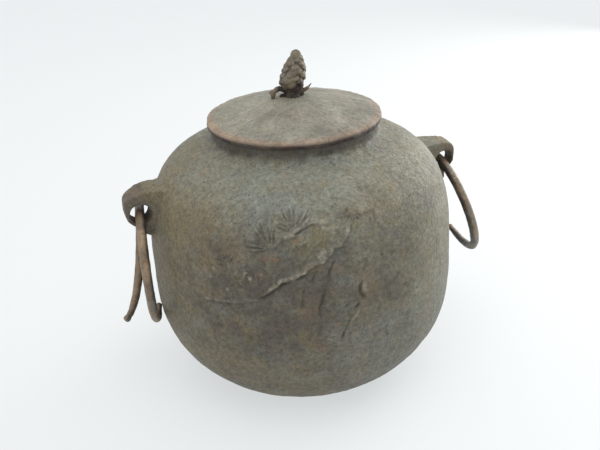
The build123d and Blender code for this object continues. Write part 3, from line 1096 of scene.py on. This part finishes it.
def iron(name, plain, warm, dark, wear_and_highlight, rust_share, grain=1.0, bumps=1.0, dull=0.65, deep=0.66,
         patchy=1.0):
    """Old bare iron: its plain, warm and dark tones, the dark one also taking painted light and shade, the
    tone of its ridges, worn and painted as highlight, and how rusty it is, then how strong its grain and
    bumps are, how dull it is, how black the painted shade in its cuts is and how patchy."""
    look = Look(name)
    tone = look.mix(look.value("warm"), plain, warm)
    clouds = look.span(look.noise(16, 4.0, 0.6), 0.35, 0.65, -0.24 * patchy, 0.24 * patchy)
    ochre = look.span(look.noise(13, 3.0, 0.6, (1.3, 1.3, 1)), 0.50, 0.72, 0.0, 0.55 * patchy)
    slate = look.span(look.noise(19, 3.0, 0.6, (0.8, 1, 1.4)), 0.50, 0.70, 0.0, 0.42 * patchy)
    # The dark value carries painted light and shade as well as random tone.
    for share, title, tint in ((clouds, "dark", dark), (ochre, "ochre", OCHRE), (slate, "cool", SLATE)):
        tone = look.mix(look.clamp(look.math("ADD", share, look.value(title))), tone, tint)
    mottle = look.span(look.noise(3.4, 4.0, 0.65), 0.3, 0.7, 1 - 0.28 * grain, 1 + 0.28 * grain)
    speck = look.span(look.noise(1.4, 2.0, 0.6), 0.3, 0.7, 1 - 0.22 * grain, 1 + 0.22 * grain)
    tone = look.mix(1.0, tone, look.grey(look.math("MULTIPLY", mottle, speck)), "MULTIPLY")
    # Ridges are painted paler: partly wear, partly a painted highlight on what stands out.
    ridge = look.math("MULTIPLY", look.span(look.value("raised"), 0.35, 1.25),
                      look.span(look.noise(2.6, 3.0, 0.6), 0.36, 0.60, 0.15, 1.0))
    tone = look.mix(look.math("MULTIPLY", ridge, 0.75), tone, wear_and_highlight)
    spots = look.math("MULTIPLY", look.span(look.noise(11, 4.0, 0.7), 0.57, 0.70),
                      look.span(look.noise(1.5, 2.0), 0.42, 0.62))
    tone = look.mix(look.math("MULTIPLY", spots, rust_share), tone, RUST)
    stains = look.span(look.noise(5, 4.0, 0.65), 0.3, 0.65, 0.1, 0.5)
    tone = look.mix(look.math("MULTIPLY", look.value("rust"), stains), tone, STAIN)
    pits = look.span(look.noise(2.4, 2.0, 0.6), 0.58, 0.70)
    tone = look.mix(look.math("MULTIPLY", pits, 0.5 * grain), tone, PIT)
    # Painted shade in the cuts: grooves of the relief, hollows between the cone's scales, troughs of the
    # lid's rays and the neck under the lid.
    cut = look.span(look.value("cut"), 0.12, 1.3)
    tone = look.mix(look.math("MULTIPLY", cut, deep), tone, CUT_SHADE)
    look.set(look.shader.inputs["Base Color"], tone)
    look.set(look.shader.inputs["Roughness"], look.span(mottle, 0.7, 1.3, dull + 0.09, dull - 0.09))
    look.set(look.shader.inputs["Specular IOR Level"], 0.5)
    coarse = look.bump(look.noise(2.4, 3.0, 0.6), 0.85 * bumps)
    fine = look.bump(look.noise(1.0, 2.0, 0.6), 0.35 * bumps, coarse)
    look.set(look.shader.inputs["Normal"], fine)
    return look.material


# ---- floor, light and camera

def add_floor():
    floor = make_piece("floor", [(-4000, -4000, 0), (4000, -4000, 0), (4000, 4000, 0), (-4000, 4000, 0)],
                       [[0, 1, 2, 3]])
    look = Look("glowing_pale_floor")
    look.set(look.shader.inputs["Base Color"], (0.27, 0.277, 0.277, 1))
    look.set(look.shader.inputs["Roughness"], 0.7)
    # The floor glows: its emission is painted light, which fills in the kettle's shadow on the floor and
    # lights the kettle from below.
    look.set(look.shader.inputs["Emission Color"], (0.96, 0.99, 1.0, 1))
    look.set(look.shader.inputs["Emission Strength"], 0.59)
    floor.data.materials.append(look.material)


def add_area_light(name, place_at, aim, size, power, colour):
    data = bpy.data.lights.new(name, "AREA")
    data.shape = "SQUARE"
    data.size = size
    data.energy = power
    data.color = colour
    lamp = bpy.data.objects.new(name, data)
    lamp.location = place_at
    lamp.rotation_euler = (Vector(aim) - Vector(place_at)).to_track_quat("-Z", "Y").to_euler()
    bpy.context.scene.collection.objects.link(lamp)


def add_light():
    world = bpy.data.worlds.new("soft_room")
    world.use_nodes = True
    background = world.node_tree.nodes["Background"]
    background.inputs[0].default_value = (0.95, 0.98, 1.0, 1)
    background.inputs[1].default_value = 0.78
    bpy.context.scene.world = world
    add_area_light("overhead", (-0.1, -0.35, 1.5), (0, 0, 0.05), 1.4, 9, (1.0, 0.99, 0.97))
    add_area_light("right", (0.95, 0.40, 0.38), (0.05, 0, 0.10), 0.7, 8.5, (1.0, 1.0, 0.98))
    bpy.context.scene.view_settings.view_transform = "Standard"


def add_camera():
    data = bpy.data.cameras.new("view")
    data.sensor_width = 36
    data.lens = 54
    camera = bpy.data.objects.new("view", data)
    camera.location = (-0.1965, -0.6310, 0.4352)
    aim = (Vector((0, 0, 0.1173)) - camera.location).to_track_quat("-Z", "Y")
    camera.rotation_mode = "QUATERNION"
    camera.rotation_quaternion = aim @ Quaternion((0, 0, 1), math.radians(-3.19))
    bpy.context.scene.collection.objects.link(camera)
    bpy.context.scene.camera = camera


def main():
    add_camera()
    add_light()
    add_floor()
    body_look = iron("cast_iron_body", (0.215, 0.220, 0.176), (0.192, 0.154, 0.086), (0.088, 0.074, 0.055),
                     (0.370, 0.330, 0.255), 0.35)
    lid_look = iron("cast_iron_lid", (0.300, 0.297, 0.238), (0.365, 0.268, 0.190), (0.032, 0.017, 0.015),
                    (0.330, 0.305, 0.250), 0.25, grain=0.7, bumps=0.6, patchy=0.6)
    knob_look = iron("cast_iron_knob", (0.190, 0.164, 0.110), (0.190, 0.117, 0.082), (0.022, 0.015, 0.014),
                     (0.225, 0.192, 0.135), 0.15, deep=0.92)
    ring_look = iron("forged_iron", (0.165, 0.150, 0.118), (0.250, 0.140, 0.062), (0.030, 0.025, 0.026),
                     (0.360, 0.280, 0.190), 0.5, bumps=0.5, dull=0.46)
    plate_look = iron("plate_iron", (0.120, 0.110, 0.100), (0.160, 0.110, 0.080), (0.060, 0.050, 0.040),
                      (0.150, 0.130, 0.110), 0.8)
    make_body(body_look)
    make_lid(lid_look)
    make_knob(knob_look)
    make_ring("ring_left", "left_ring", 0.9, 101, 0.70, ring_look)
    make_ring("ring_right", "right_ring", 0.3, 111, 0.25, ring_look)
    for node in ("knob_washer", "sound_plate_1", "sound_plate_2", "sound_plate_3"):
        dress(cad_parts[node], plate_look)


main()
